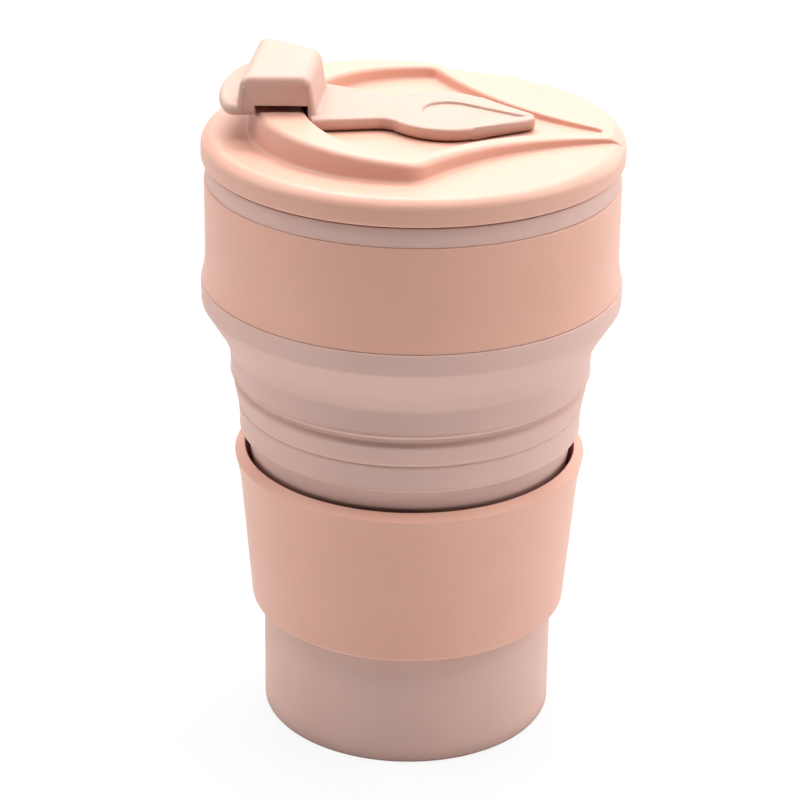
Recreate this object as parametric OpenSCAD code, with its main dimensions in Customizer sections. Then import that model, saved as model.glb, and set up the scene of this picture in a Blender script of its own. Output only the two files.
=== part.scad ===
// Collapsible travel cup: a silicone cup that folds down between its base and
// its rim, with a plastic rim band, a plastic heat sleeve, and a plastic lid
// whose drinking hole is closed by a soft stopper.
// Millimetres, +Z up, origin at the centre of the base's underside.
// The stopper lies along X, with the drinking hole on the -X side.

/* [Base] */
// Outer diameter of the silicone base
base_d = 64.4; // [58:0.2:70]
// Thickness of the base's floor
floor_t = 3; // [2:0.5:6]
// Rounding of the base's foot edge
foot_r = 0.8; // [0.4:0.1:3]
// Rounding between the floor and the wall inside
floor_r = 3; // [1.5:0.1:5]
// Thickness of the silicone walls
silicone_wall = 1.9; // [1.4:0.1:2.4]

/* [Sleeve] */
// Height of the sleeve's foot above the table
sleeve_lift = 26.6; // [18:0.1:36]
// Height of the sleeve
sleeve_h = 36.7; // [26:0.1:46]
// Growth of the sleeve's radius from its foot to its flare
sleeve_taper = 2.7; // [1.5:0.1:4]
// Thickness of the sleeve's wall
sleeve_wall = 2.3; // [1.6:0.1:2.8]
// Outward flare of the sleeve's rim
sleeve_flare = 0.95; // [0.6:0.05:1.6]
// Height of the flared rim
sleeve_flare_h = 5; // [3.5:0.1:7]
// Fall of the sleeve's rim from its inner edge to its outer edge
sleeve_rim_h = 1.5; // [1:0.1:2.2]
// Rounding of the sleeve's foot
sleeve_foot_r = 0.9; // [0.6:0.1:1.4]

/* [Folds] */
// Bare silicone between the sleeve's mouth and the lower ledge
neck_h = 5.1; // [3:0.1:9]
// Height of the lower fold ring
lower_fold_h = 12.6; // [9:0.1:16]
// Height of the upper fold ring
upper_fold_h = 17.1; // [14:0.1:22]
// Step outward at each ledge
ledge_step = 1.8; // [1:0.1:2.2]
// Height of the flared part of the upper fold ring
shoulder_h = 10.5; // [8:0.1:12]

/* [Rim] */
// Inner diameter of the cup's mouth
mouth_d = 82.8; // [79:0.2:92]
// Thickness of the collar's wall behind the band
collar_wall = 1.2; // [0.9:0.1:1.8]
// Height of the silicone flange under the band
flange_h = 4.6; // [3:0.1:8]
// Overhang of the flange beyond the band
flange_lip = 1; // [0.5:0.1:2]
// Height of the silicone strip between band and lid
strip_h = 4.2; // [3:0.1:7]

/* [Band] */
// Height of the plastic band
band_h = 22.5; // [14:0.1:32]
// Thickness of the plastic band
band_wall = 1.65; // [1.2:0.05:2.2]
// Outward flare at the band's foot
band_flare = 0.5; // [0.2:0.1:0.8]
// Height of the flare at the band's foot
band_flare_h = 3.2; // [2:0.1:6]

/* [Lid] */
// Overhang of the lid beyond the band
lid_lip = 0.6; // [0.3:0.1:1.5]
// Height of the lid's rounded edge
lid_h = 5.7; // [5:0.1:8]
// Radius of the lid's rounded edge
lid_edge_r = 3; // [2:0.1:5]
// Thickness of the lid's plastic
lid_wall = 2.1; // [1.6:0.1:2.5]
// Length of the ring that plugs the mouth
plug_ring_h = 9.5; // [6:0.1:14]
// Thickness of the ring that plugs the mouth
plug_ring_wall = 1; // [0.8:0.1:1.4]
// Thickness of the seal ring
seal_t = 1.1; // [0.8:0.1:1.6]
// Flat ledge between the ridge and the lid's edge
lid_ledge = 10.8; // [8:0.1:13]
// Height of the ridge at the drinking hole
ridge_mouth_h = 6.8; // [5:0.1:9]
// Height of the ridge at the far edge of the lid
ridge_tip_h = 0.85; // [0.7:0.05:1.2]
// Width of the ridge at the drinking hole
crescent_w = 10.9; // [9.5:0.1:13]
// Width of the ridge along its sweeps
sweep_w = 3.6; // [2.5:0.1:5]
// Radius of the sweeps from the ridge's corners to the far edge
sweep_r = 62.4; // [55:0.2:75]
// Distance of the ridge's corners beyond the lid's centre
corner_x = 4.2; // [2:0.1:7]
// Half width of the ridge's far end
tip_half = 4.3; // [3:0.1:6]
// Height of the recessed floor above the lid's top, at the lid's centre
pan_h = 1.6; // [1.3:0.1:2]
// Fall of the recessed floor toward the far edge, in degrees
floor_tilt = 1.8; // [1:0.1:2]
// Width of the drinking hole
drink_w = 5; // [4:0.1:6]
// Length of the drinking hole
drink_l = 13; // [9:0.1:16]

/* [Stopper] */
// Thickness of the stopper's strap
strap_t = 2.65; // [1.8:0.05:3]
// Half width of the strap's neck
neck_half = 8; // [6:0.1:9]
// Radius of the hollow that leads from the neck to the anchor
neck_fillet = 4; // [3:0.1:6]
// Half width of the strap, 12 mm from its neck
root_half = 11.9; // [10.5:0.1:13]
// Place of the anchor's round end, beyond the lid's centre
anchor_x = 6; // [5:0.1:7]
// Radius of the anchor's round end
anchor_r = 12.8; // [11.5:0.1:13.5]
// Place of the anchor's tip, beyond the lid's centre
anchor_tip_x = 25.5; // [20:0.1:28]
// Radius of the anchor's tip
anchor_tip_r = 3; // [2:0.1:4]
// Depth of the teardrop recess in the anchor
recess_d = 0.7; // [0.4:0.1:1]
// Radius of the teardrop recess at its round end
recess_r = 6.1; // [5:0.1:7]
// Distance of the recess's round end beyond the anchor's
recess_shift = 1.9; // [1:0.1:2.5]
// Distance of the recess's tip from the anchor's tip
recess_tip = 1.5; // [1:0.1:4]
// Radius of the peg that holds the anchor in the lid
peg_r = 2.8; // [2:0.1:3.5]
// Height of the hood's top above the ridge
hood_h = 7.55; // [5:0.05:10]
// Reach of the hood's leg inward from the ridge
leg_t = 3.6; // [2.6:0.1:4.4]
// Half width of the hood at the strap
hood_inner_half = 10.6; // [9.5:0.1:12]
// Half width of the hood at its outer side
hood_outer_half = 15; // [13.5:0.1:16]
// Reach of the pull lip beyond the ridge
pull_lip = 6.7; // [5:0.1:8.5]
// Thickness of the pull lip
pull_lip_t = 2.6; // [2:0.1:3.2]
// Farthest turn of the stopper, in degrees
flip_max = 120; // [90:5:130]

/* [Fits] */
// Gap between pieces that slide or rotate on each other
running_gap = 0.35; // [0.3:0.05:0.5]
// Gap between pieces that are held in place
seat_gap = 0.15; // [0.1:0.05:0.25]
// Gap between the hood and the ridge below it
hood_gap = 1.4; // [0.8:0.1:2]

/* [Hidden] */
$fn = 96;
plastic = [0.88, 0.66, 0.56];
silicone = [0.80, 0.66, 0.61];
soft_top = [0.90, 0.76, 0.69];
far = 200;
eps = 0.01;

// Heights, stacked from the table up
sleeve_top = sleeve_lift + sleeve_h;
flare_z = sleeve_top - sleeve_flare_h;
lower_z = sleeve_top + neck_h;
upper_z = lower_z + lower_fold_h;
flange_z = upper_z + upper_fold_h;
band_seat_z = flange_z + flange_h;
band_z = band_seat_z + seat_gap;
strip_z = band_z + band_h + seat_gap;
strip_top = strip_z + strip_h;
lid_z = strip_top + seat_gap;
lid_top = lid_z + lid_h;
lid_under = lid_top - lid_wall;

// Radii of the base, the sleeve and the folds
base_r = base_d / 2;
sleeve_in = base_r + running_gap;
neck_r = base_r + sleeve_taper + sleeve_flare;
lower_ledge_r = neck_r + ledge_step * 0.7;
upper_ledge_r = lower_ledge_r + ledge_step;
ring_r = upper_ledge_r + ledge_step * 0.35;

// Radii of the rim and the lid
mouth_r = mouth_d / 2;
collar_r = mouth_r + collar_wall;
band_in = collar_r + seat_gap;
band_r = band_in + band_wall;
flange_r = band_r + flange_lip;
strip_r = band_r - seat_gap;
lid_r = band_r + lid_lip;
tongue_r = mouth_r + (strip_r - mouth_r) * 0.6;
tongue_top = lid_under - seal_t - running_gap;
skirt_in = tongue_r + running_gap;
plug_r = mouth_r - running_gap;

// Ridge on the lid: a circle to the left of its corners, two sweeps to the right
ridge_r = lid_r - lid_ledge;
ridge_slope = (ridge_tip_h - ridge_mouth_h) / (ridge_r + lid_r);
function ridge_z(x) = lid_top + ridge_mouth_h + ridge_slope * (x + ridge_r);
corner = [corner_x, sqrt(ridge_r * ridge_r - corner_x * corner_x)];
sweep_end = [lid_r - lid_edge_r, tip_half];
sweep_centre = arc_centre(corner, sweep_end, sweep_r);
pan_r = ridge_r - sweep_w * 0.75;
pan_x = pan_r - ridge_r + crescent_w;
drink_x = -ridge_r + crescent_w / 2;
function floor_z(x) = lid_top + pan_h - x * tan(floor_tilt);

// Stopper
neck_x = sqrt(pow(anchor_r + neck_fillet, 2) - pow(neck_half + neck_fillet, 2)) - anchor_x;
function strap_z(x) = floor_z(x) + running_gap;
hinge = [-neck_x, strap_z(-neck_x) + strap_t / 2];
lip_z = ridge_z(-ridge_r) - 0.7;
leg_x = pan_x - pan_r + leg_t;
peg_hole_r = peg_r + seat_gap;
plug_bottom = lid_top + running_gap;

// Points along an arc about [cx, cy] from angle a to angle b
function arc(cx, cy, r, a, b, n = 6) =
    [for (i = [0:n]) let (t = a + (b - a) * i / n) [cx + r * cos(t), cy + r * sin(t)]];
// Centre of the arc of radius r from p to q that curves away from the X axis
function arc_centre(p, q, r) =
    let (m = (p + q) / 2, d = q - p, l = norm(d)) m + [-d[1], d[0]] / l * sqrt(r * r - l * l / 4);
// Points along a smooth step from p to q, level with the axis at both ends
function swell(p, q, n = 8) =
    [for (i = [0:n]) let (t = i / n) [p[0] + (q[0] - p[0]) * t * t * (3 - 2 * t), p[1] + (q[1] - p[1]) * t]];
function reversed(list) = [for (i = [len(list) - 1:-1:0]) list[i]];
function mirrored(list) = [for (p = reversed(list)) [p[0], -p[1]]];
// The same points, further in by a wall
function inward(list, wall) = [for (p = list) [p[0] - wall, p[1]]];

module turned(points) {
    rotate_extrude() polygon(points);
}

// A prism with its outline in the XZ plane, centred on the XZ plane
module side_prism(points, width) {
    rotate([90, 0, 0]) linear_extrude(height = width, center = true) polygon(points);
}

// Silicone cup: base, two fold rings and rim collar

module base_cup() {
    inner_r = base_r - silicone_wall;
    outer = concat(
        arc(base_r - foot_r, foot_r, foot_r, -90, 0),
        [[base_r, sleeve_lift]], swell([base_r + sleeve_taper, flare_z], [neck_r, sleeve_top], 5),
        [[neck_r, lower_z - 1.2], [lower_ledge_r, lower_z - 0.5], [lower_ledge_r, lower_z]]);
    inner = concat(
        [[lower_ledge_r - silicone_wall, lower_z], [neck_r - silicone_wall, lower_z - 1.8],
         [neck_r - silicone_wall, sleeve_top], [base_r + sleeve_taper - silicone_wall, flare_z],
         [inner_r, sleeve_lift]],
        arc(inner_r - floor_r, floor_t + floor_r, floor_r, 0, -90));
    color(silicone) turned(concat([[0, 0]], outer, inner, [[0, floor_t]]));
}

module lower_fold() {
    waist = upper_ledge_r - ledge_step * 0.65;
    belly = upper_ledge_r - ledge_step * 0.2;
    crease_z = lower_z + lower_fold_h * 0.47;
    outer = [[lower_ledge_r, lower_z], [lower_ledge_r + 0.45, crease_z - 0.45], [lower_ledge_r + 0.2, crease_z],
        [lower_ledge_r + 0.6, crease_z + 0.45], [belly, upper_z - 2.2], [waist, upper_z - 1.1], [waist, upper_z]];
    color(silicone) turned(concat(outer, reversed(inward(outer, silicone_wall))));
}

module upper_fold() {
    shoulder_z = flange_z - shoulder_h;
    bend_r = ring_r + (flange_r - ring_r) * 0.33;
    bend_z = shoulder_z + shoulder_h * 0.34;
    outer = [[upper_ledge_r, upper_z], [upper_ledge_r + 0.05, upper_z + 0.7], [ring_r, shoulder_z], [bend_r, bend_z],
        [flange_r - 0.2, flange_z]];
    inner = concat(inward([for (i = [0:3]) outer[i]], silicone_wall),
        [[mouth_r, (bend_z + flange_z) / 2], [mouth_r, flange_z]]);
    color(silicone) turned(concat(outer, reversed(inner)));
}

module rim_collar() {
    round_r = 0.4;
    outer = concat(
        [[flange_r - 0.2, flange_z], [flange_r, flange_z + flange_h * 0.45]],
        arc(flange_r - round_r - 0.1, band_seat_z - round_r, round_r, 0, 90, 4),
        [[collar_r, band_seat_z], [collar_r, strip_z]],
        [[strip_r, strip_z]],
        arc(strip_r - round_r, strip_top - round_r, round_r, 0, 90, 4),
        [[tongue_r, strip_top], [tongue_r, tongue_top], [mouth_r, tongue_top]]);
    color(silicone) turned(concat(outer, [[mouth_r, flange_z]]));
}

// Plastic band and heat sleeve

module upper_band() {
    round_r = 0.4;
    outer = concat(
        [[band_r + band_flare - round_r, band_z]],
        arc(band_r + band_flare - round_r, band_z + round_r, round_r, -60, 0, 3),
        swell([band_r + band_flare, band_z + 2 * round_r], [band_r, band_z + band_flare_h], 5),
        arc(band_r - round_r, band_z + band_h - round_r, round_r, 0, 90, 4));
    color(plastic) turned(concat(outer, [[band_in, band_z + band_h], [band_in, band_z]]));
}

module heat_sleeve() {
    foot_out = sleeve_in + sleeve_wall;
    straight_out = foot_out + sleeve_taper;
    rim_out = straight_out + sleeve_flare;
    rim_in = rim_out - sleeve_wall;
    rim_z = sleeve_top - sleeve_rim_h;
    rim_r = 0.4;
    outer = concat(
        [[sleeve_in, sleeve_lift]],
        arc(foot_out - sleeve_foot_r, sleeve_lift + sleeve_foot_r, sleeve_foot_r, -80, 0),
        swell([straight_out, flare_z], [rim_out, rim_z - rim_r], 5),
        arc(rim_out - rim_r, rim_z - rim_r, rim_r, 20, 60, 2),
        arc(rim_in + rim_r, sleeve_top - rim_r, rim_r, 60, 180, 4));
    inner = reversed(swell([straight_out - sleeve_wall, flare_z], [rim_in, sleeve_top - 1], 5));
    color(plastic) turned(concat(outer, inner));
}

// Lid

// The ridge's outline as an upright prism, grown outward by grow
module ridge_prism(grow, z0, z1) {
    difference() {
        union() {
            translate([0, 0, z0]) cylinder(r = ridge_r + grow, h = z1 - z0);
            intersection() {
                translate([0, 0, z0]) cylinder(r = lid_r - eps, h = z1 - z0);
                translate([corner_x, -lid_r, z0]) cube([lid_r, 2 * lid_r, z1 - z0]);
            }
        }
        for (s = [-1, 1])
            translate([sweep_centre[0], s * sweep_centre[1], z0 - 1])
                cylinder(r = sweep_r - grow, h = z1 - z0 + 2);
    }
}

// The recessed floor's outline as an upright prism, shrunk by shrink
module pan_prism(shrink, z0, z1) {
    difference() {
        translate([pan_x, 0, z0]) cylinder(r = pan_r - shrink, h = z1 - z0);
        for (s = [-1, 1])
            translate([sweep_centre[0], s * sweep_centre[1], z0 - 1])
                cylinder(r = sweep_r + sweep_w + shrink, h = z1 - z0 + 2);
    }
}

// Everything below the ridge's sloping top, raised by rise
module below_ridge_top(rise) {
    side_prism([[-lid_r, 0], [lid_r, 0], [lid_r, ridge_z(lid_r) + rise], [-lid_r, ridge_z(-lid_r) + rise]],
        2 * lid_r);
}

// Everything above the recessed floor
module above_floor() {
    side_prism([[-lid_r, floor_z(-lid_r)], [lid_r, floor_z(lid_r)], [lid_r, far], [-lid_r, far]], 2 * lid_r);
}

// Dome that brings the ridge's far end down to the lid's edge
module ridge_dome() {
    drop = pan_h + ridge_tip_h;
    turned(concat([[0, 0], [lid_r - eps, 0]],
        arc(lid_r - eps - lid_edge_r - drop, lid_top + pan_h - lid_edge_r - drop, lid_edge_r + drop, 0, 90, 8),
        [[ridge_r, lid_top + pan_h], [ridge_r, far], [0, far]]));
}

// A slot with round ends along Y
module slot_prism(width, length, z0, z1) {
    reach = (length - width) / 2;
    for (s = [-1, 1])
        translate([0, s * reach, z0]) cylinder(d = width, h = z1 - z0);
    translate([-width / 2, -reach, z0]) cube([width, 2 * reach, z1 - z0]);
}

module lid_body() {
    edge_z = lid_top - lid_edge_r;
    lower_r = 0.6;
    turned(concat(
        [[0, lid_under], [plug_r - plug_ring_wall, lid_under],
         [plug_r - plug_ring_wall, lid_under - plug_ring_h],
         [plug_r - plug_ring_wall / 2, lid_under - plug_ring_h], [plug_r, lid_under - plug_ring_h + 1],
         [plug_r, lid_under], [skirt_in, lid_under], [skirt_in, lid_z]],
        arc(lid_r - lower_r, lid_z + lower_r, lower_r, -90, 0, 4),
        arc(lid_r - lid_edge_r, edge_z, lid_edge_r, edge_z < lid_z + lower_r ? asin((lid_z + lower_r - edge_z) / lid_edge_r) : 0, 90, 10),
        [[0, lid_top]]));
}

module lid_shell() {
    color(plastic) difference() {
        union() {
            lid_body();
            intersection() {
                ridge_prism(0, lid_under, lid_top + far / 10);
                below_ridge_top(0);
                ridge_dome();
            }
        }
        intersection() {
            pan_prism(0, lid_top, lid_top + far / 10);
            above_floor();
        }
        intersection() {
            difference() {
                ridge_prism(-lid_wall, lid_under - eps, lid_top + far / 10);
                translate([pan_x, 0, lid_under - 1]) cylinder(r = pan_r + lid_wall, h = far / 10);
                translate([0, -lid_r, lid_under - 1]) cube([lid_r, 2 * lid_r, far / 10]);
            }
            below_ridge_top(-lid_wall);
        }
        translate([drink_x, 0, 0]) slot_prism(drink_w, drink_l, lid_under - 1, lid_top + far / 10);
        translate([anchor_x, 0, lid_under - 1]) cylinder(r = peg_hole_r, h = far / 10);
    }
}

module lid_seal_ring() {
    color(silicone) turned([[plug_r + seat_gap, lid_under - seal_t], [skirt_in - seat_gap, lid_under - seal_t],
        [skirt_in - seat_gap, lid_under], [plug_r + seat_gap, lid_under]]);
}

// Stopper

// Outline of the strap and anchor seen from above, from the tip to the hood
function strap_side() =
    let (lean = asin((anchor_r - anchor_tip_r) / (anchor_tip_x - anchor_tip_r - anchor_x)),
         meet = atan2(neck_half + neck_fillet, -anchor_x - neck_x),
         flare = atan2(root_half - neck_half, 12))
    concat(
        arc(anchor_tip_x - anchor_tip_r, 0, anchor_tip_r, 0, 90 - lean, 5),
        arc(anchor_x, 0, anchor_r, 90 - lean, meet, 12),
        arc(-neck_x, neck_half + neck_fillet, neck_fillet, meet - 180, -90 - flare, 8),
        [[-ridge_r, root_half + (ridge_r - neck_x - 12) * tan(flare)]]);

module strap_prism(z0, z1) {
    translate([0, 0, z0]) linear_extrude(height = z1 - z0)
        polygon(concat(strap_side(), mirrored(strap_side())));
}

// Lays a piece drawn on the level ground onto the sloping floor, with a gap below it
module on_floor() {
    translate([hinge[0], 0, hinge[1]]) rotate([0, floor_tilt, 0]) translate([-hinge[0], 0, -strap_t / 2]) children();
}

// Space that the strap turns through about its neck, with a gap around it
module hinge_space(gap) {
    translate([hinge[0], 0, hinge[1]]) {
        rotate([90, 0, 0]) cylinder(r = strap_t / 2 + gap, h = far, center = true);
        for (turn = [0, flip_max])
            rotate([0, floor_tilt + turn, 0]) translate([-far, -far / 2, -strap_t / 2 - gap])
                cube([far, far, strap_t + 2 * gap]);
    }
}

module stopper_anchor() {
    head_h = 1.6;
    head_r = peg_r + 1.8;
    peg_z = lid_under - head_h;
    color(soft_top) {
        difference() {
            on_floor() strap_prism(0, strap_t);
            hinge_space(running_gap);
            translate([-far, -far / 2, 0]) cube([far + hinge[0], far, far]);
            on_floor() translate([0, 0, strap_t - recess_d]) linear_extrude(height = recess_d + 1)
                polygon(teardrop(anchor_x + recess_shift, recess_r, anchor_tip_x - recess_tip));
        }
        translate([anchor_x, 0, peg_z]) cylinder(r = peg_r, h = strap_z(anchor_x) + 0.5 - peg_z);
        translate([anchor_x, 0, peg_z - seat_gap]) cylinder(r1 = head_r - 1, r2 = head_r, h = head_h);
    }
}

// A drop about [x, 0], of radius r, pointed at tip_x
function teardrop(x, r, tip_x) =
    let (lean = asin(r / (tip_x - x)))
    concat([[tip_x, 0]], arc(x, 0, r, 90 - lean, 270 + lean, 20));

module hood_block() {
    top = function (x) ridge_z(x) + hood_h;
    foot = strap_z(leg_x) + 0.4;
    strap_top = strap_z(leg_x) + strap_t;
    out = -ridge_r;
    mid = drink_x;
    lip_x = out - pull_lip;
    lip_top = lip_z + pull_lip_t;
    bevel = 0.8;
    intersection() {
        side_prism([
            [leg_x + 1, foot], [leg_x + 1, strap_top], [leg_x + 0.2, strap_top + 0.8],
            [leg_x - 0.6, top(leg_x) - 1.6], [leg_x - 1, top(leg_x) - 0.6], [leg_x - 2, top(leg_x - 2)],
            [out + 0.4, top(out)], [out - 0.6, top(out) - 0.5], [out - 1.1, top(out) - 1.6],
            [out - 1.9, lip_top + 1.2], [out - 3.2, lip_top],
            [lip_x + bevel, lip_top - 0.2], [lip_x, lip_top - bevel],
            [lip_x, lip_z + bevel], [lip_x + bevel, lip_z], [mid, lip_z], [mid, foot]],
            4 * hood_outer_half);
        translate([0, 0, lid_under]) linear_extrude(height = far) polygon(concat(hood_side(), mirrored(hood_side())));
    }
}

// Outline of the hood and its pull lip seen from above
function hood_side() =
    let (corner_r = pull_lip * 0.7, out = -ridge_r, half = hood_outer_half - 0.6)
    concat(
        [[leg_x + 1, hood_inner_half], [out - 0.6, hood_outer_half]],
        arc(out - pull_lip + corner_r, half - corner_r, corner_r, 80, 180, 6));

module stopper_cap() {
    color(soft_top) {
        difference() {
            union() {
                intersection() {
                    on_floor() strap_prism(0, strap_t);
                    pan_prism(running_gap, lid_under, lid_top + far / 10);
                    translate([-far, -far / 2, 0]) cube([far + hinge[0], far, far]);
                }
                intersection() {
                    translate([hinge[0], 0, hinge[1]]) rotate([90, 0, 0]) cylinder(d = strap_t, h = far, center = true);
                    strap_prism(lid_under, lid_top + far / 10);
                }
                hood_block();
            }
            intersection() {
                difference() {
                    translate([0, 0, lid_under]) cylinder(r = ridge_r + running_gap, h = far / 10);
                    translate([pan_x, 0, 0]) cylinder(r = pan_r - running_gap, h = far);
                    translate([0, -far / 2, 0]) cube([far, far, far]);
                }
                below_ridge_top(hood_gap);
            }
        }
        translate([drink_x, 0, 0])
            slot_prism(drink_w - 2 * running_gap, drink_l - 2 * running_gap, plug_bottom, ridge_z(drink_x) + hood_gap + 1);
    }
}

base_cup();
lower_fold();
upper_fold();
rim_collar();
upper_band();
heat_sleeve();
lid_shell();
lid_seal_ring();
stopper_anchor();
stopper_cap();
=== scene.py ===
# %% [markdown]
# # A collapsible travel cup
# The cup is a soft silicone beaker that folds down between its base and its rim. A plastic band
# stiffens the rim, a plastic sleeve keeps the heat off the hand, and a plastic lid with a soft
# stopper closes it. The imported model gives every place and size, and this script dresses it.

# %% Load the model
import math

import bmesh
import bpy
from mathutils import Matrix, Quaternion, Vector


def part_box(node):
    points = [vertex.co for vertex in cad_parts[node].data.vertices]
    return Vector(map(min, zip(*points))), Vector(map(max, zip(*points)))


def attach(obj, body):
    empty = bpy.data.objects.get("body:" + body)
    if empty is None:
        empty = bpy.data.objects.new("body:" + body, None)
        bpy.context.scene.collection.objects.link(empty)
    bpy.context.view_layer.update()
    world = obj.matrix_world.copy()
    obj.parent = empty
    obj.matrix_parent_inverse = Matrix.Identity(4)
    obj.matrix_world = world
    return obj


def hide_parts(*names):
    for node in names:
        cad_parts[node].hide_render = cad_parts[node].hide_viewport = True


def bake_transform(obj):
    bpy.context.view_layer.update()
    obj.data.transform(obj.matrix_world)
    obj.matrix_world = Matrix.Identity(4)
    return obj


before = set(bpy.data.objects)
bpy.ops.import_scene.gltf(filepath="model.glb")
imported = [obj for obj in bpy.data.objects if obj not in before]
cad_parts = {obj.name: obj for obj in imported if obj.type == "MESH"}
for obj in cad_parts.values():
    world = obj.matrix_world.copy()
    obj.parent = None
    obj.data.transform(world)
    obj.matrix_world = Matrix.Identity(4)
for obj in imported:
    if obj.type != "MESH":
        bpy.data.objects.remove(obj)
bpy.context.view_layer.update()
MM = 0.001
print("Nodes:", ", ".join(sorted(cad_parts)))

# %% [markdown]
# ## The camera
# The photograph was taken with a long lens from above the lid, so the upright sides of the cup draw
# together towards the table. The lens and the place of the camera were worked out from the round
# edges of the cup, whose ellipses say how far above them the camera stood. The picture is a cut-out
# that isn't centred on the lens, so the camera has a little shift besides its small roll.

# %% Camera
camera_place = Vector((0.04857, -0.55496, 0.32363))
camera_aim = Vector((0, 0, 0.0931))
camera_roll = math.radians(0.80)

camera_data = bpy.data.cameras.new("camera")
camera_data.sensor_width = 36
camera_data.lens = 125.06
camera_data.shift_x = -0.0140
camera_data.shift_y = -0.1073
camera = bpy.data.objects.new("camera", camera_data)
bpy.context.scene.collection.objects.link(camera)
camera.location = camera_place
look = (camera_aim - camera_place).to_track_quat("-Z", "Y")
camera.rotation_mode = "QUATERNION"
camera.rotation_quaternion = look @ Quaternion((0, 0, 1), camera_roll)
bpy.context.scene.camera = camera
print("Camera distance:", round((camera_aim - camera_place).length, 3), "m")

# %% [markdown]
# ## Shader maths as Python
# A material is a graph of nodes. Wiring it by hand takes many lines, so one small class wraps a
# socket and turns sums and products on it into Math nodes. Any other node comes from one method
# that sets the node up first and then fills its sockets with numbers or links.

# %% Shader helpers
class Value:
    """A shader socket on which Python maths adds Math nodes."""

    def __init__(self, finish, socket):
        self.finish = finish
        self.socket = socket

    def maths(self, operation, left, right):
        return self.finish.node("Math", {"operation": operation}, {0: left, 1: right})

    def __add__(self, other):
        return self.maths("ADD", self, other)

    def __mul__(self, other):
        return self.maths("MULTIPLY", self, other)

    def __sub__(self, other):
        return self.maths("SUBTRACT", self, other)

    def __rsub__(self, other):
        return self.maths("SUBTRACT", other, self)

    __radd__ = __add__
    __rmul__ = __mul__


class Finish:
    """One material, built up node by node."""

    def __init__(self, name):
        self.material = bpy.data.materials.new(name)
        self.material.use_nodes = True
        self.tree = self.material.node_tree
        self.shader = self.tree.nodes["Principled BSDF"]

    def feed(self, socket, value):
        if isinstance(value, Value):
            self.tree.links.new(value.socket, socket)
        else:
            socket.default_value = value

    def node(self, kind, settings=None, inputs=None, output=0):
        node = self.tree.nodes.new("ShaderNode" + kind)
        for name, value in (settings or {}).items():
            setattr(node, name, value)
        for name, value in (inputs or {}).items():
            self.feed(node.inputs[name], value)
        return Value(self, node.outputs[output])

    def surface(self, **inputs):
        for name, value in inputs.items():
            self.feed(self.shader.inputs[name.replace("_", " ").title()], value)


def colour(red, green, blue):
    """A colour as a screen shows it, from 0 to 255, as the linear light that a shader takes."""
    def linear(part):
        part /= 255
        return part / 12.92 if part <= 0.04045 else ((part + 0.055) / 1.055) ** 2.4
    return (linear(red), linear(green), linear(blue), 1)


print("Mid peach in linear light:", [round(part, 2) for part in colour(230, 175, 156)])

# %% [markdown]
# ## Moulded finishes
# The lid, band and sleeve are satin polypropylene: a peach tone that drifts a little where the
# plastic cooled, a very fine spark-eroded grain, and a soft sheen at grazing angles. The cup and
# the stopper are matte silicone, pinker and greyer, with a dusty grain that scatters light more.
# An occlusion node paints shade into narrow nooks, strongest on the soft pieces, and the plastic lets a
# little light through. One recipe serves all, because they differ only in amounts.

# %% Moulded finish
# The deep brown that the painted shade in nooks darkens towards.
painted_shade_tone = colour(110, 66, 54)


def moulded(name, tone, deep_tone, roughness, grain, grain_size, painted_nook_shade, glow):
    """A moulded surface: two tones that drift, a fine grain, painted shade in its nooks, and a gloss
    that follows the grain.
    """
    finish = Finish(name)
    place = finish.node("TexCoord", output="Object")
    drift = finish.node("TexNoise", None,
                        {"Vector": place, "Scale": 28, "Detail": 3, "Roughness": 0.55})
    fine = finish.node("TexNoise", None, {"Vector": place, "Scale": 1 / grain_size, "Detail": 2})
    speck = finish.node("TexNoise", None, {"Vector": place, "Scale": 900, "Detail": 1})
    mottle = finish.node("MapRange", None,
                         {"Value": drift * 0.8 + fine * 0.2, "From Min": 0.3, "From Max": 0.7})
    tint = finish.node("Mix", {"data_type": "RGBA"}, {"Factor": mottle, 6: tone, 7: deep_tone}, 2)
    dust = finish.node("MapRange", None,
                       {"Value": speck, "From Min": 0.7, "From Max": 0.8, "To Max": 0.25})
    shade = finish.node("Mix", {"data_type": "RGBA"}, {"Factor": dust, 6: tint, 7: deep_tone}, 2)
    # Painted shade: an occlusion node finds narrow nooks, and the colour there is darkened towards the
    # deep brown by the given amount.
    painted_shade_occlusion = finish.node("AmbientOcclusion", {"samples": 6}, {"Distance": 0.006}, 1)
    depth = finish.node("MapRange", None,
                        {"Value": painted_shade_occlusion, "From Min": 0.7, "From Max": 0.25, "To Max": painted_nook_shade})
    shade = finish.node("Mix", {"data_type": "RGBA"}, {"Factor": depth, 6: shade, 7: painted_shade_tone}, 2)
    bump = finish.node("Bump", None, {"Strength": grain, "Distance": 0.0002, "Height": fine})
    gloss = roughness + (fine - 0.5) * 0.12 + (drift - 0.5) * 0.08
    finish.surface(base_color=shade, roughness=gloss, normal=bump)
    finish.shader.inputs["Subsurface Weight"].default_value = glow
    finish.shader.inputs["Subsurface Radius"].default_value = (1, 0.4, 0.25)
    finish.shader.inputs["Subsurface Scale"].default_value = 0.002
    print("Finish:", name)
    return finish.material


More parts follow.
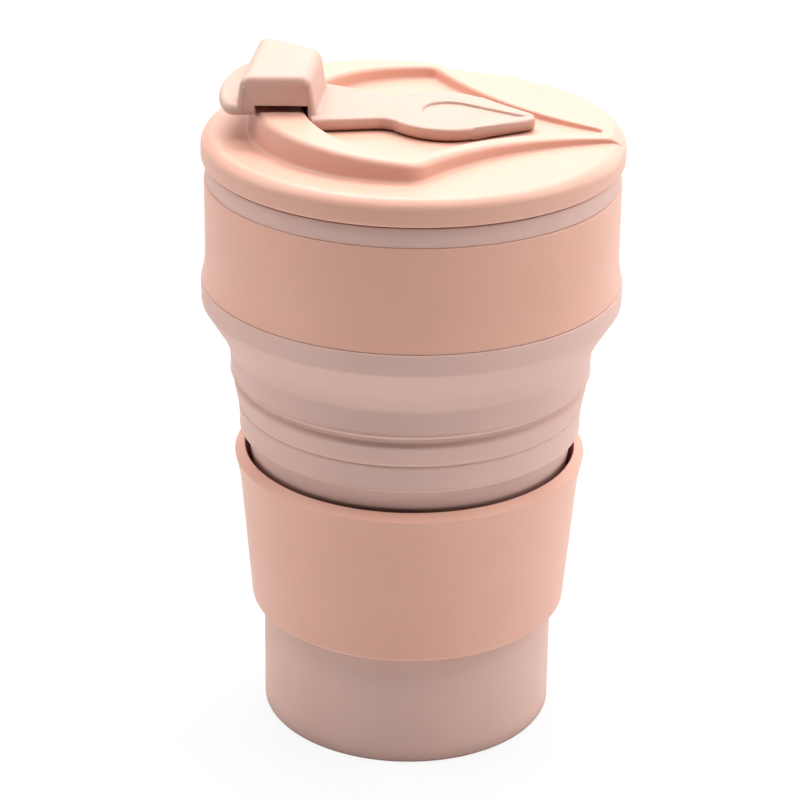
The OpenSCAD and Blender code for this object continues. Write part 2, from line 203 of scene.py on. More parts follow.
# %% Plastic and silicone
# Each finish's nook amount sets how strongly painted shade darkens its nooks.
plastic = moulded("peach_plastic", colour(231, 178, 158), colour(226, 171, 150),
                  roughness=0.42, grain=0.10, grain_size=0.00035, painted_nook_shade=0.25, glow=0.12)
silicone = moulded("beige_silicone", colour(222, 184, 172), colour(216, 177, 165),
                   roughness=0.60, grain=0.16, grain_size=0.00030, painted_nook_shade=0.85, glow=0)
soft_silicone = moulded("stopper_silicone", colour(208, 172, 158), colour(203, 166, 151),
                        roughness=0.55, grain=0.14, grain_size=0.00030, painted_nook_shade=0.6, glow=0)
seal_silicone = moulded("seal_silicone", colour(226, 216, 208), colour(218, 206, 197),
                        roughness=0.50, grain=0.10, grain_size=0.00030, painted_nook_shade=0.3, glow=0)

# %% [markdown]
# ## Turning a half section
# Almost everything on a cup is round, so the quickest true way to make it is the potter's: draw
# half of the section and spin it about the axis. The corners of the section are rounded first, by
# a vertex bevel on the bare outline, so each moulded edge has the radius it needs.

# %% Lathe helpers
def as_piece(name, bm, sharp_angle=40):
    """Makes a finished object of a bmesh, smooth except across sharp corners."""
    mesh = bpy.data.meshes.new(name)
    bm.to_mesh(mesh)
    bm.free()
    mesh.shade_smooth()
    mesh.set_sharp_from_angle(angle=math.radians(sharp_angle))
    piece = bpy.data.objects.new(name, mesh)
    bpy.context.scene.collection.objects.link(piece)
    print(name, "has", len(mesh.polygons), "faces")
    return piece


def half_section(outline, closed, segments=6):
    """Draws corners given as (radius, height, softening) in millimetres and rounds them."""
    bm = bmesh.new()
    corners = [bm.verts.new((radius * MM, 0, height * MM)) for radius, height, soft in outline]
    for start, end in zip(corners, corners[1:]):
        bm.edges.new((start, end))
    if closed:
        bm.edges.new((corners[-1], corners[0]))
    for corner, (radius, height, soft) in zip(corners, outline):
        if soft:
            bmesh.ops.bevel(bm, geom=[corner], offset=soft * MM, segments=segments, profile=0.5,
                            affect="VERTICES", material=-1)
    return bm


def all_of(bm):
    return bm.verts[:] + bm.edges[:] + bm.faces[:]


def spin_round(bm, steps):
    """Spins a half section a quarter turn about the cup's axis, and mirrors that twice."""
    bmesh.ops.spin(bm, geom=bm.verts[:] + bm.edges[:], cent=(0, 0, 0), axis=(0, 0, 1),
                   angle=math.pi / 2, steps=steps // 4)
    for axis in ("Y", "X"):
        bmesh.ops.mirror(bm, geom=all_of(bm), matrix=Matrix.Identity(4), merge_dist=1e-6, axis=axis)
    bmesh.ops.remove_doubles(bm, verts=bm.verts, dist=1e-6)
    bmesh.ops.recalc_face_normals(bm, faces=bm.faces)


def top_of(node):
    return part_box(node)[1][2] / MM


def foot_of(node):
    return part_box(node)[0][2] / MM


def reach_of(node):
    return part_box(node)[1][0] / MM


# %% [markdown]
# ## The silicone cup
# Base, folding wall, flange and lip are one moulding on the real cup, so they are one spin here, from
# the middle of the floor up the outside and down the inside. The two ledges and the crease between them
# are where the wall rolls over as the cup is pressed flat. Above the sleeve the wall is drawn in a
# little, which leaves the dark gap at the sleeve's mouth. The real wall bends between base and rim;
# here the piece is one fixed spin.

# %% Cup sizes
base_radius = 32.2
floor_thickness = 3
silicone_wall = 1.9
sleeve_foot = foot_of("heat_sleeve")
sleeve_mouth = top_of("heat_sleeve")
lower_ledge = foot_of("lower_fold")
upper_ledge = foot_of("upper_fold")
crease = lower_ledge + 5.9
flange_foot = foot_of("rim_collar")
shoulder = flange_foot - 10.5
bend = flange_foot - 6.9
flange_top = foot_of("upper_band") - 0.05
strip_foot = top_of("upper_band") + 0.05
strip_top = strip_foot + 4.3
tongue_top = top_of("rim_collar")
mouth_radius = 41.4
neck_radius = 35.85
neck_draw = 0.7
flange_radius = reach_of("rim_collar")
strip_radius = 44.15
print("Wall from the sleeve up to the flange:", round(flange_foot - sleeve_mouth, 1), "mm")

# %% Silicone cup
outside = [
    (0, 0, 0),
    (base_radius, 0, 0.8),
    (base_radius, sleeve_foot, 0.5),
    (base_radius + 2.3, sleeve_mouth - 5, 1.5),
    (neck_radius - neck_draw, sleeve_mouth - 0.3, 0.8),
    (neck_radius - 0.4, lower_ledge - 0.8, 0.3),
    (neck_radius + 0.7, lower_ledge - 0.45, 0.15),
    (neck_radius + 1.55, lower_ledge + 0.1, 0.12),
    (neck_radius + 1.35, lower_ledge + 0.65, 0.25),
    (neck_radius + 1.75, crease - 0.45, 0.25),
    (neck_radius + 1.45, crease, 0.15),
    (neck_radius + 1.9, crease + 0.45, 0.25),
    (neck_radius + 2.7, upper_ledge - 2.2, 0.35),
    (neck_radius + 1.9, upper_ledge - 1.2, 0.3),
    (neck_radius + 1.9, upper_ledge - 0.1, 0.1),
    (neck_radius + 2.75, upper_ledge + 0.1, 0.15),
    (neck_radius + 3.45, upper_ledge + 0.75, 0.12),
    (neck_radius + 3.25, upper_ledge + 1.35, 0.25),
    (neck_radius + 3.6, shoulder, 0.7),
    (neck_radius + 5.2, bend, 0.7),
    (flange_radius - 0.1, flange_foot, 0.35),
    (flange_radius, flange_top, 0.5),
]
inside = [
    (mouth_radius + 1.2, flange_top, 0),
    (mouth_radius + 1.2, strip_foot, 0),
    (strip_radius, strip_foot, 0.1),
    (strip_radius, strip_top, 0.5),
    (mouth_radius + 1.71, strip_top, 0),
    (mouth_radius + 1.71, tongue_top, 0.3),
    (mouth_radius, tongue_top, 0.3),
    (mouth_radius, flange_foot - 3.4, 1.5),
    (neck_radius + 3.7, bend, 1),
    (neck_radius + 1.8, shoulder, 1),
    (neck_radius + 1.15, upper_ledge + 0.6, 0.4),
    (neck_radius, upper_ledge - 1.1, 0.4),
    (neck_radius + 0.8, upper_ledge - 2.3, 0.4),
    (neck_radius - 0.65, lower_ledge, 0.5),
    (neck_radius - silicone_wall, lower_ledge - 1.8, 0.5),
    (neck_radius - silicone_wall - neck_draw, sleeve_mouth - 0.3, 1),
    (base_radius + 0.4, sleeve_mouth - 5, 1.5),
    (base_radius - silicone_wall, sleeve_foot, 2),
    (base_radius - silicone_wall, floor_thickness, 3),
    (0, floor_thickness, 0),
]
cup_section = half_section(outside + inside, closed=False)
spin_round(cup_section, 192)
cup = as_piece("silicone_cup", cup_section)
cup.data.materials.append(silicone)
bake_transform(cup)
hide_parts("base_cup", "lower_fold", "upper_fold", "rim_collar")

# %% [markdown]
# ## The rim band and the heat sleeve
# Both are thin plastic hoops. The band is trapped between the flange and the lip, and swells a
# little at its foot. The sleeve tapers with the base, is drawn in at its foot, and its mouth flares
# outward to a sloping rim. Each is a closed half section, spun once.

# %% Rim band
band_foot = foot_of("upper_band")
band_top = top_of("upper_band")
band_radius = 44.4
band_section = half_section([
    (mouth_radius + 1.35, band_foot, 0.2),
    (band_radius + 0.75, band_foot, 0.15),
    (band_radius + 0.7, band_foot + 0.7, 0.5),
    (band_radius + 0.2, band_foot + 3, 1.5),
    (band_radius, band_foot + 6, 2),
    (band_radius, band_top, 0.3),
    (mouth_radius + 1.35, band_top, 0.2),
], closed=True)
spin_round(band_section, 192)
band = as_piece("rim_band", band_section)
band.data.materials.append(plastic)
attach(band, "cup_rim")
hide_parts("upper_band")

# %% Heat sleeve
sleeve_wall = 2.3
sleeve_inner = base_radius + 0.35
rim_radius = sleeve_inner + sleeve_wall + 3.65
sleeve_section = half_section([
    (sleeve_inner, sleeve_foot, 0.3),
    (sleeve_inner + sleeve_wall, sleeve_foot, 0.9),
    (sleeve_inner + sleeve_wall + 2.65, sleeve_mouth - 5.2, 3),
    (rim_radius - 0.1, sleeve_mouth - 2.1, 0.5),
    (rim_radius, sleeve_mouth - 1.45, 0.3),
    (rim_radius - 2.25, sleeve_mouth, 0.35),
    (rim_radius - 2.3, sleeve_mouth - 1, 0.4),
    (sleeve_inner + 2.75, sleeve_mouth - 5.4, 2),
], closed=True)
spin_round(sleeve_section, 192)
sleeve = as_piece("heat_sleeve_shell", sleeve_section)
sleeve.data.materials.append(plastic)
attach(sleeve, "sleeve")
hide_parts("heat_sleeve")

# %% [markdown]
# ## The lid
# The lid is a round plastic cap with a ridge sculpted into its top: a wide crescent at the drinking
# hole, two corners at the sides, and two sweeps that run out to the far edge, all lying on one
# sloping plane. Building that ridge from separate walls would leave seams, so the lid is spun first
# as a plain cap. Then the rings of its top slide along their spokes until they follow the ridge's
# outlines, close together where a shoulder or a foot is round, and every point is raised to the
# height that its distance from those outlines calls for. The same rule hollows the ridge below.

# %% Lid sizes
lid_radius = reach_of("lid_shell")
lid_foot = strip_top + 0.15
lid_top = lid_foot + 5.7
lid_under = lid_top - 2.1
lid_edge = 3
ring_foot = foot_of("lid_shell")
plug_radius = mouth_radius - 0.35
skirt_inner = mouth_radius + 2.06
ridge_radius = lid_radius - 10.8
ridge_rise = 6.8
ridge_slope = (0.85 - ridge_rise) / (ridge_radius + lid_radius)
sweep_centre = Vector((58.63, 64.44))
sweep_radius = 62.4
sweep_width = 3.6
pan_rise = 1.6
pan_slope = math.tan(math.radians(1.8))
pan_radius = ridge_radius - 2.7
pan_centre = pan_radius - ridge_radius + 10.9
dome_round = lid_edge + pan_rise + 0.85
wall_turn = math.radians(83)
print("Ridge radius:", round(ridge_radius, 1), "mm, floor radius:", round(pan_radius, 1), "mm")

# %% Heights on the lid
def crest(x):
    """The ridge's sloping top."""
    return lid_top + ridge_rise + ridge_slope * (x + ridge_radius)


def pan_floor(x):
    """The recessed floor, which falls a little towards the far edge."""
    return lid_top + pan_rise - x * pan_slope


def cap_top(radius):
    """The plain cap, flat and then round at its edge."""
    past = max(radius - (lid_radius - lid_edge), 0)
    return lid_top - lid_edge + math.sqrt(max(lid_edge ** 2 - past ** 2, 0))


def ridge_top(x, radius):
    """The crest, brought down to the lid's edge by a dome."""
    past = max(radius - (lid_radius - dome_round), 0)
    dome = lid_top + pan_rise - dome_round + math.sqrt(max(dome_round ** 2 - past ** 2, 0))
    return min(crest(x), dome) if past else crest(x)


print("Crest at the drinking hole:", round(crest(-ridge_radius) - lid_top, 2), "mm")

# %% Walls of the ridge
def wall_marks(height, top_round, foot_round):
    """Radii of a wall's rounds, their reaches, and the place of its foot, for a wall of one height."""
    fit = min(1, max(height, 0.05) / (1.5 * (top_round + foot_round)))
    reach = math.tan(wall_turn / 2)
    foot_place = -height / math.tan(wall_turn)
    top_round *= fit
    foot_round *= fit
    return top_round, foot_round, top_round * reach, foot_round * reach, foot_place


def wall_height(inset, height, top_round, foot_round):
    """Height of a drafted wall at a distance inside its top edge, round at its top and foot."""
    top_round, foot_round, top_reach, foot_reach, foot_place = wall_marks(height, top_round, foot_round)
    if height <= 0 or inset <= foot_place - foot_reach:
        return 0
    if inset >= top_reach:
        return height
    if inset >= -top_reach * math.cos(wall_turn):
        return height - top_round + math.sqrt(top_round ** 2 - (top_reach - inset) ** 2)
    if inset >= foot_place + foot_reach * math.cos(wall_turn):
        return height + math.tan(wall_turn) * inset
    return foot_round - math.sqrt(foot_round ** 2 - (inset - foot_place + foot_reach) ** 2)


def wall_insets(height, top_round, foot_round):
    """Insets from a wall's foot up to its top, close together on the rounds."""
    top_round, foot_round, top_reach, foot_reach, foot_place = wall_marks(height, top_round, foot_round)
    foot = [foot_place - foot_reach + foot_round * math.sin(wall_turn * step / 5) for step in range(6)]
    top = [top_reach - top_round * math.sin(wall_turn * step / 7) for step in range(7, -1, -1)]
    return foot + [foot[-1] + (top[0] - foot[-1]) * part for part in (0.33, 0.67)] + top


# %% Outlines of the ridge
def soft_min(first, second, reach):
    """The lesser of two distances, with the corner between them rounded."""
    overlap = max(reach - abs(first - second), 0) / reach
    return min(first, second) - overlap * overlap * reach / 4


def past_sweep(x, y):
    return math.hypot(x - sweep_centre.x, abs(y) - sweep_centre.y) - sweep_radius


def inside_ridge(x, y):
    """Distance inside the ridge's outer outline."""
    radius = math.hypot(x, y)
    return soft_min(past_sweep(x, y), max(ridge_radius - radius, min(x - 20, lid_radius - radius)), 2.4)


def outside_pan(x, y):
    """Distance outside the recessed floor."""
    return -soft_min(past_sweep(x, y) - sweep_width, pan_radius - math.hypot(x - pan_centre, y), 1.2)


def lid_height(x, y):
    radius = math.hypot(x, y)
    cap = cap_top(radius)
    top = ridge_top(x, radius)
    outer = cap + wall_height(inside_ridge(x, y), top - cap, *outer_rounds)
    inner = pan_floor(x) + wall_height(outside_pan(x, y), top - pan_floor(x), *inner_rounds)
    return min(outer, inner)


def hollow_height(x, y):
    wall = 2.1
    inset = min(inside_ridge(x, y) - wall, outside_pan(x, y) - wall, -x)
    return lid_under + wall_height(inset, crest(x) - wall - lid_under, 0.6, 0.5)


outer_rounds = (1.6, 0.9)
inner_rounds = (1.2, 0.8)
print("Rounds on the ridge:", outer_rounds, inner_rounds)

# %% Rings along a spoke
def find_radius(distance, spoke, near, far):
    """Radius on a spoke at which a distance that changes sign between near and far is zero."""
    rising = distance(*(spoke * far)) > 0
    for step in range(26):
        middle = (near + far) / 2
        if (distance(*(spoke * middle)) > 0) == rising:
            far = middle
        else:
            near = middle
    return near


def spaced(start, end, count):
    return [start + (end - start) * step / count for step in range(1, count)]


def spoke_radii(spoke):
    """Radii of the top's rings along one spoke, from the middle to the lid's edge."""
    limit = lid_radius - 0.4
    mark = find_radius(outside_pan, spoke, 10, limit)
    x = spoke.x * mark
    insets = wall_insets(ridge_top(x, mark) - pan_floor(x), *inner_rounds)
    inner = [find_radius(lambda x, y: outside_pan(x, y) - inset, spoke, 10, limit)
             for inset in insets]
    mark = find_radius(inside_ridge, spoke, 12, limit)
    insets = wall_insets(ridge_top(spoke.x * mark, mark) - cap_top(mark), *outer_rounds)
    outer = [find_radius(lambda x, y: inside_ridge(x, y) - inset, spoke, 12, limit)
             for inset in reversed(insets)]
    radii = (spaced(0, inner[0], 8) + inner + spaced(inner[-1], max(outer[0], inner[-1]), 20) + outer
             + spaced(outer[-1], max(lid_radius - lid_edge, outer[-1]), 4))
    for place in range(1, len(radii)):
        radii[place] = max(radii[place], radii[place - 1] + 0.01)
    for place in range(len(radii) - 1, 0, -1):
        radii[place - 1] = min(radii[place - 1], radii[place] - 0.01)
    return radii


ring_count = len(spoke_radii(Vector((-1, 0))))
print("Rings on the lid's top:", ring_count)

# %% Lid body
flat_radius = lid_radius - lid_edge
edge_steps = 14
lid_bm = half_section([
    (0, lid_top, 0),
    (flat_radius, lid_top, 0),
    (lid_radius, lid_top, lid_edge - 0.001),
    (lid_radius, lid_foot, 0.8),
    (skirt_inner, lid_foot, 0.2),
    (skirt_inner, lid_under, 0),
    (plug_radius, lid_under, 0),
    (plug_radius, ring_foot + 1, 0),
    (plug_radius - 0.5, ring_foot, 0),
    (plug_radius - 1, ring_foot, 0),
    (plug_radius - 1, lid_under, 0),
    (34.5, lid_under, 0),
    (22, lid_under, 0),
    (0, lid_under, 0),
], closed=False, segments=edge_steps)


def divide_ring(bm, near, far, height, cuts):
    """Cuts one level edge of the half section, so that its spin has rings there."""
    edges = [edge for edge in bm.edges
             if all(abs(v.co.z / MM - height) < 0.01 and near - 0.01 < v.co.x / MM < far + 0.01
                    for v in edge.verts)]
    bmesh.ops.subdivide_edges(bm, edges=edges, cuts=cuts)


divide_ring(lid_bm, 0, flat_radius, lid_top, ring_count)
divide_ring(lid_bm, 22, 34.5, lid_under, 20)
spin_round(lid_bm, 480)
print("Lid points:", len(lid_bm.verts))

# %% Shape the lid
spokes = {}
ring_pitch = flat_radius / (ring_count + 1)
for vert in lid_bm.verts:
    x, y, z = vert.co / MM
    radius = math.hypot(x, y)
    spoke = Vector((x, y)) / max(radius, 1e-9)
    if z > lid_top - lid_edge - 0.01 and radius > 0.1:
        key = round(math.atan2(y, x) / math.tau * 480)
        if key not in spokes:
            spokes[key] = spoke_radii(spoke)
        ring = round(radius / ring_pitch)
        start = max(flat_radius, spokes[key][-1] + 0.02)
        if z > lid_top - 0.001 and ring <= ring_count:
            radius = spokes[key][ring - 1]
        else:
            turn = math.asin(max(min((z - lid_top + lid_edge) / lid_edge, 1), 0)) / (math.pi / 2)
            widest = math.acos((start - flat_radius) / lid_edge)
            radius = flat_radius + lid_edge * math.cos(turn * widest)
        x, y = spoke * radius
        vert.co = Vector((x, y, lid_height(x, y) if radius < lid_radius - 0.001 else z)) * MM
    elif radius <= 0.1 and z > lid_under + 0.1:
        vert.co.z = pan_floor(0) * MM
    elif radius < 35 and z > lid_under - 0.01:
        vert.co.z = hollow_height(x, y) * MM
print("Spokes:", len(spokes))

# %% Drinking hole
def slot_offset(x, y):
    """The way from the slot's middle line to a point."""
    along = max(-drink_reach, min(drink_reach, y))
    return Vector((x - drink_centre, y - along)), along


drink_centre = -ridge_radius + 5.45
drink_width = 5
drink_reach = 4
hole_faces = []
for face in lid_bm.faces:
    middle = face.calc_center_median() / MM
    if slot_offset(middle.x, middle.y)[0].length < drink_width / 2 - 0.1:
        hole_faces.append(face)
bmesh.ops.delete(lid_bm, geom=hole_faces, context="FACES")
rims = [edge for edge in lid_bm.edges if edge.is_boundary]
for vert in {vert for edge in rims for vert in edge.verts}:
    way, along = slot_offset(vert.co.x / MM, vert.co.y / MM)
    way = way.normalized() * drink_width / 2
    vert.co.x = (drink_centre + way.x) * MM
    vert.co.y = (along + way.y) * MM
bmesh.ops.bridge_loops(lid_bm, edges=rims)
lid = as_piece("lid", lid_bm, 50)
lid.data.materials.append(plastic)
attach(lid, "lid")
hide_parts("lid_shell")

# %% [markdown]
# ## The stopper
# The stopper is one soft moulding: a drop-shaped anchor pegged through the lid, a strap that narrows
# to a neck where it bends, and a hood that straddles the ridge, with a plug below for the drinking
# hole and a lip outside for a fingertip. The strap and anchor are one plate with a drop-shaped
# recess, and the hood is its side outline drawn across, wider at its outer side. Their edges are
# rounded like silicone's, and hollows at the hood's feet let it grow out of the strap and the lip.

# %% Stopper helpers
def arc_points(centre, radius, start, end, count):
    """Points along an arc, its angles in degrees."""
    angles = [math.radians(start + (end - start) * step / count) for step in range(count + 1)]
    return [(centre[0] + radius * math.cos(a), centre[1] + radius * math.sin(a)) for a in angles]


def mirrored(points):
    return [(x, -y) for x, y in reversed(points)]


def soften(bm, edges, offset, segments=5):
    """Rounds edges."""
    bmesh.ops.bevel(bm, geom=edges, offset=offset * MM, segments=segments, profile=0.5,
                    affect="EDGES", material=-1)


def add_plate(bm, outline, foot, top, edge_round):
    """Extrudes an outline seen from above and rounds its upper and lower edges."""
    verts = [bm.verts.new((x * MM, y * MM, foot * MM)) for x, y in outline]
    face = bm.faces.new(verts)
    lifted = bmesh.ops.extrude_face_region(bm, geom=[face])["geom"]
    upper = [item for item in lifted if isinstance(item, bmesh.types.BMVert)]
    for vert in upper:
        vert.co.z = top * MM
    rim = [edge for group in (set(verts), set(upper)) for edge in bm.edges
           if edge.verts[0] in group and edge.verts[1] in group]
    soften(bm, rim, edge_round)


def add_loop(bm, points, height):
    """A closed loop of edges at one height."""
    verts = [bm.verts.new((x * MM, y * MM, height * MM)) for x, y in points]
    return [bm.edges.new(pair) for pair in zip(verts, verts[1:] + verts[:1])]


# %% Strap and anchor
strap_thick = 2.65
strap_lift = 0.35
anchor_x = 6
anchor_round = 12.8
tip_round = 3
tip_x = 25.5 - tip_round
neck_half = 8
neck_fillet = 4
neck_x = anchor_x - math.sqrt((anchor_round + neck_fillet) ** 2 - (neck_half + neck_fillet) ** 2)

lean = math.degrees(math.asin((anchor_round - tip_round) / (tip_x - anchor_x)))
meet = math.degrees(math.atan2(neck_half + neck_fillet, neck_x - anchor_x))
half = (arc_points((tip_x, 0), tip_round, 0, 90 - lean, 6)[1:]
        + arc_points((anchor_x, 0), anchor_round, 90 - lean, meet, 24)
        + arc_points((neck_x, neck_half + neck_fillet), neck_fillet, meet - 180, -108, 10)[1:])
root = arc_points((pan_centre, 0), pan_radius - 0.4, 180 - 24.1, 180 + 24.1, 10)
stopper_bm = bmesh.new()
add_plate(stopper_bm, [(tip_x + tip_round, 0)] + half + root + mirrored(half), 0, strap_thick, 0.6)
seam = bmesh.ops.bisect_plane(stopper_bm, geom=all_of(stopper_bm), plane_no=(0, 0, 1),
                              plane_co=(0, 0, strap_thick / 2 * MM))["geom_cut"]
stopper_bm.normal_update()
for item in seam:
    if isinstance(item, bmesh.types.BMVert):
        item.co += item.normal * 0.1 * MM
print("Strap and anchor:", len(stopper_bm.faces), "faces, neck at", round(neck_x, 2), "mm")

# %% Drop-shaped recess
def drop(radius):
    """A drop about its round end, whose sides keep their direction for every radius."""
    slant = math.degrees(math.asin(6.1 / 16.1))
    point = (7.9 + radius / math.sin(math.radians(slant)), 0)
    return [point] + arc_points((7.9, 0), radius, 90 - slant, 270 + slant, 40)


top_face = max(stopper_bm.faces, key=lambda face: face.calc_center_median().z + face.calc_area())
top_rim = list(top_face.edges)
bmesh.ops.delete(stopper_bm, geom=[top_face], context="FACES_ONLY")
steps = [(0.3, 0), (0.19, 0.04), (0.08, 0.13), (0, 0.3),
         (-0.03, 0.45), (-0.12, 0.6), (-0.3, 0.68), (-0.5, 0.7)]
loops = [add_loop(stopper_bm, drop(6.1 + grow), strap_thick - depth) for grow, depth in steps]
bmesh.ops.triangle_fill(stopper_bm, edges=top_rim + loops[0], use_beauty=True)
for outer_loop, inner_loop in zip(loops, loops[1:]):
    bmesh.ops.bridge_loops(stopper_bm, edges=outer_loop + inner_loop)
bmesh.ops.contextual_create(stopper_bm, geom=loops[-1])
for cut in range(20):
    bmesh.ops.bisect_plane(stopper_bm, geom=all_of(stopper_bm), plane_no=(1, 0, 0),
                           plane_co=((neck_x + 4.8 - cut * 0.5) * MM, 0, 0))
for vert in stopper_bm.verts:
    vert.co.z += (pan_floor(vert.co.x / MM) + strap_lift) * MM
print("With its recess:", len(stopper_bm.faces), "faces")

# %% Side outlines drawn across
def strap_top(x):
    return pan_floor(x) + strap_lift + strap_thick


def draw_across(outline, widths):
    """Extrudes a side outline from one side of the lid to the other, cut into widths from -1 to 1."""
    bm = half_section(outline, closed=True)
    side = bmesh.ops.contextual_create(bm, geom=bm.edges[:])["faces"]
    bmesh.ops.extrude_face_region(bm, geom=side)
    near_side = {vert for face in side for vert in face.verts}
    for vert in bm.verts:
        vert.co.y = -MM if vert in near_side else MM
    for width in widths:
        bmesh.ops.bisect_plane(bm, geom=all_of(bm), plane_co=(0, width * MM, 0), plane_no=(0, 1, 0))
    return bm


def join(bm, part):
    """Adds a bmesh to another."""
    mesh = bpy.data.meshes.new("part")
    part.to_mesh(mesh)
    part.free()
    bm.from_mesh(mesh)
    bpy.data.meshes.remove(mesh)


print("Strap's top at the hood:", round(strap_top(-23), 2), "mm")

# %% Hood
hood_rise = 7.8
hood_gap = 1.4
lip_thick = 2.5
lip_foot = crest(-ridge_radius) - 0.75
lip_top = lip_foot + lip_thick
lip_middle = lip_foot + lip_thick / 2
inner_x = -23.0
outer_x = -34.75
hood_bm = draw_across([
    (inner_x, strap_top(-23) - 1.6, 0),
    (-18.4, strap_top(-18.4) - 1.6, 0),
    (-18.4, strap_top(-18.4) - 0.05, 0),
    (-19.6, strap_top(-19.6) + 0.03, 0.8),
    (-20.9, crest(-20.9) + hood_rise, 2),
    (-34.7, crest(-34.7) + hood_rise, 2.2),
    (-35.5, lip_middle, 0),
    (outer_x, lip_middle, 0),
    (outer_x, crest(-34.75) + hood_gap, 0),
    (inner_x, crest(-23) + hood_gap, 0),
], (-0.75, -0.4, 0, 0.4, 0.75))
print("Hood:", len(hood_bm.faces), "faces before its edges are rounded")


# %% Width and edges of the hood
def is_end(vert):
    """Whether a point lies on an end of the hood, and not over the ridge or in the strap."""
    x, part, z = vert.co / MM
    over = min(abs(x - inner_x), abs(x - outer_x)) < 0.001
    return abs(part) > 0.999 and not over and z > strap_top(x) - 1


def hood_half(x):
    """Half the width of the hood, which is widest at its outer wall."""
    return 10.5 + (-21.8 - x) * 0.35


end_edges = [edge for edge in hood_bm.edges
             if all(is_end(v) for v in edge.verts) and edge.verts[0].co.y * edge.verts[1].co.y > 0]
for vert in hood_bm.verts:
    x, part, z = vert.co / MM
    near_outer = abs(x - outer_x) < 0.001
    near_inner = abs(x - inner_x) < 0.001
    y = part * hood_half(x)
    for step in range(4 if near_outer or near_inner else 0):
        if near_outer:
            x = -math.sqrt((ridge_radius + 0.55) ** 2 - y ** 2)
        else:
            x = pan_centre - math.sqrt((pan_radius - 0.4) ** 2 - y ** 2)
        y = part * hood_half(x)
    vert.co = Vector((x, y, z)) * MM
soften(hood_bm, end_edges, 1.2, 6)


def over_ridge(vert):
    x, y, z = vert.co / MM
    return x < -20.8 and lip_middle + 0.05 < z < crest(x) + hood_gap + 0.05


low_edges = [edge for edge in hood_bm.edges if edge.is_manifold and edge.calc_face_angle() > 0.8
             and all(over_ridge(v) for v in edge.verts)]
soften(hood_bm, low_edges, 0.35, 3)
print("Edges at the ends:", len(end_edges), "and over the ridge:", len(low_edges))
join(stopper_bm, hood_bm)
print("With its hood:", len(stopper_bm.faces), "faces")

# %% Lip
lip_reach = 6.7
lip_inner = arc_points((0, 0), ridge_radius + 0.5, 180 + 23.7, 180 - 23.7, 9)
lip_corner = [(-33.2, hood_half(-33.2) - 0.02)] + arc_points((-35.3, 11.78), 3.5, 98, 160, 8)
lip_outer = arc_points((0, 0), ridge_radius + lip_reach, 180 - 14.5, 180 + 14.5, 8)
lip = lip_inner + lip_corner + lip_outer + mirrored(lip_corner)
add_plate(stopper_bm, lip, lip_foot, lip_top, 1.1)
cove_bm = draw_across([
    (-35.2, lip_top + 1.3, 0),
    (-35.37, lip_top + 0.02, 1.15),
    (-36.7, lip_top - 0.03, 0),
    (-36.7, lip_top - 0.4, 0),
    (-35, lip_top - 0.4, 0),
    (-35, lip_top + 1.3, 0),
], (-0.85, 0.85))
for vert in cove_bm.verts:
    if abs(vert.co.y) > 0.9 * MM:
        vert.co.x = -35.3 * MM
        vert.co.z = min(vert.co.z, (lip_top - 0.2) * MM)
    vert.co.y *= 14.6
join(stopper_bm, cove_bm)
print("With its lip:", len(stopper_bm.faces), "faces")

# %% Plug and peg
plug = (arc_points((drink_centre, drink_reach), 2.15, 0, 180, 12)
        + arc_points((drink_centre, -drink_reach), 2.15, 180, 360, 12))
add_plate(stopper_bm, plug, lid_top + 0.35, crest(drink_centre) + hood_gap + 1, 0.4)
peg = arc_points((anchor_x, 0), 2.8, 0, 345, 23)
add_plate(stopper_bm, peg, lid_under - 1, strap_top(anchor_x) - 1.5, 0.2)
head = arc_points((anchor_x, 0), 4.6, 0, 348, 29)
add_plate(stopper_bm, head, lid_under - 1.75, lid_under - 0.15, 0.5)
bmesh.ops.recalc_face_normals(stopper_bm, faces=stopper_bm.faces)
stopper = as_piece("stopper", stopper_bm)
stopper.data.materials.append(soft_silicone)
hinge_height = pan_floor(neck_x) + strap_lift + strap_thick / 2
hinge_height * MM
hinge_height * MM
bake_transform(stopper)
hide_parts("stopper_anchor", "stopper_cap")

# %% [markdown]
# ## The seal ring
# The seal is a plain ring in the lid's groove. Its solid is already right, so it only gets a finish.

# %% Seal ring
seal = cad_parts["lid_seal_ring"]
seal.data.materials.clear()
seal.data.materials.append(seal_silicone)
print("Seal ring reach:", round(reach_of("lid_seal_ring"), 1), "mm")

# %% [markdown]
# ## Floor and studio light
# The cup stands in a white studio. Large soft boxes hang above it, at its sides and behind it, and
# the front is lit only by what the white floor throws back, so it is the darkest part. The floor and
# the world show white to the camera, but light the cup gently, and the floor keeps the soft shadow.

# %% Floor
floor_bm = bmesh.new()
bmesh.ops.create_grid(floor_bm, x_segments=1, y_segments=1, size=6)
floor = as_piece("floor", floor_bm)
floor_finish = Finish("studio_floor")
shown_to = ("Is Camera Ray", "Is Glossy Ray", "Is Transmission Ray")
ray = floor_finish.tree.nodes.new("ShaderNodeLightPath")
camera_ray, glossy_ray, clear_ray = [Value(floor_finish, ray.outputs[kind]) for kind in shown_to]
seen = (camera_ray + glossy_ray + clear_ray) * 0.85
white = floor_finish.node("Emission", None, {"Color": (1, 1, 1, 1), "Strength": 1.0})
floor_finish.surface(base_color=(0.86, 0.86, 0.86, 1), roughness=0.9)
matte = Value(floor_finish, floor_finish.shader.outputs[0])
mixed = floor_finish.node("MixShader", None, {0: seen, 1: matte, 2: white})
output = floor_finish.tree.nodes["Material Output"]
floor_finish.feed(output.inputs["Surface"], mixed)
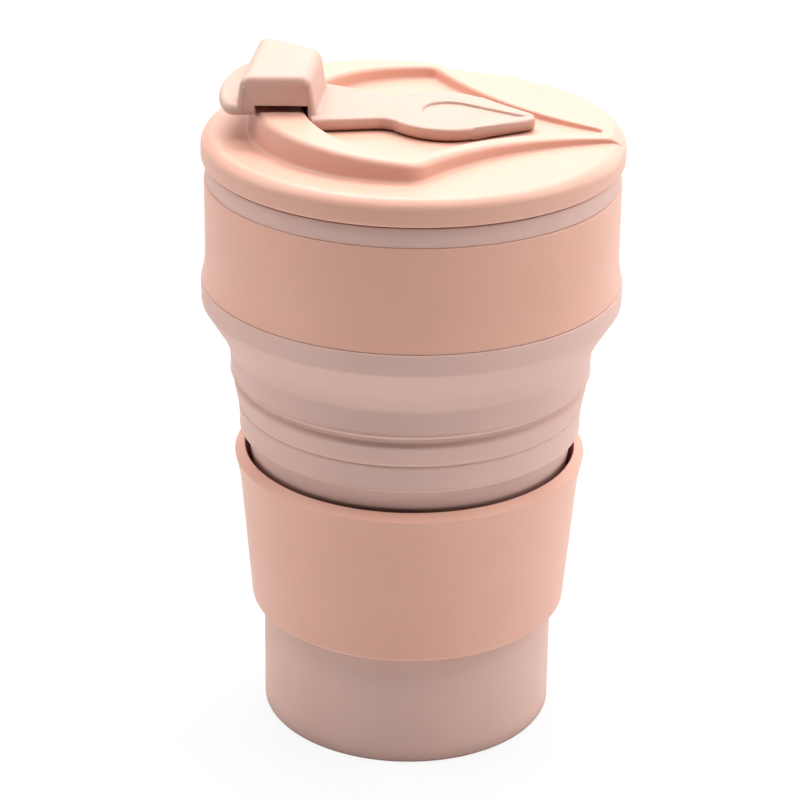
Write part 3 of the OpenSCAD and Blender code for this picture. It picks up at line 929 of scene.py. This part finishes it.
floor.data.materials.append(floor_finish.material)

# %% World
world = bpy.data.worlds.new("studio")
bpy.context.scene.world = world
world.use_nodes = True
background = world.node_tree.nodes["Background"]
light_path = world.node_tree.nodes.new("ShaderNodeLightPath")
either = world.node_tree.nodes.new("ShaderNodeVectorMath")
either.operation = "DOT_PRODUCT"
either.inputs[1].default_value = (1, 1, 1)
rays = world.node_tree.nodes.new("ShaderNodeCombineXYZ")
for socket, kind in zip(rays.inputs, shown_to):
    world.node_tree.links.new(light_path.outputs[kind], socket)
world.node_tree.links.new(rays.outputs[0], either.inputs[0])
backdrop = world.node_tree.nodes.new("ShaderNodeMapRange")
backdrop.inputs["To Min"].default_value = 0.02
world.node_tree.links.new(either.outputs["Value"], backdrop.inputs["Value"])
world.node_tree.links.new(backdrop.outputs["Result"], background.inputs["Strength"])
background.inputs["Color"].default_value = (1, 1, 1, 1)
print("White is shown to:", ", ".join(shown_to))

# %% Soft boxes
def soft_box(name, place, target, width, height, power):
    lamp = bpy.data.lights.new(name, "AREA")
    lamp.shape = "RECTANGLE"
    lamp.size = width
    lamp.size_y = height
    lamp.energy = power
    box = bpy.data.objects.new(name, lamp)
    bpy.context.scene.collection.objects.link(box)
    box.location = place
    box.rotation_euler = (Vector(target) - Vector(place)).to_track_quat("-Z", "Y").to_euler()
    print(name, power, "W")


soft_box("upper_left_box", (-0.75, 0, 0.85), (0, 0, 0.08), 0.5, 0.9, 5.4)
soft_box("upper_right_box", (0.75, 0, 0.85), (0, 0, 0.08), 0.5, 0.9, 6.5)
soft_box("upper_front_box", (0, -0.34, 1.05), (0, 0, 0.08), 0.9, 0.22, 3.1)
soft_box("upper_rear_box", (0, 0.45, 1.05), (0, 0, 0.08), 0.9, 0.35, 9.6)
soft_box("rear_box", (0, 0.8, 0.75), (0, 0, 0.08), 0.9, 0.6, 3)
soft_box("rear_right_box", (0.65, 0.6, 0.35), (0, 0, 0.08), 0.6, 0.7, 2.2)

bpy.context.scene.view_settings.view_transform = "Standard"
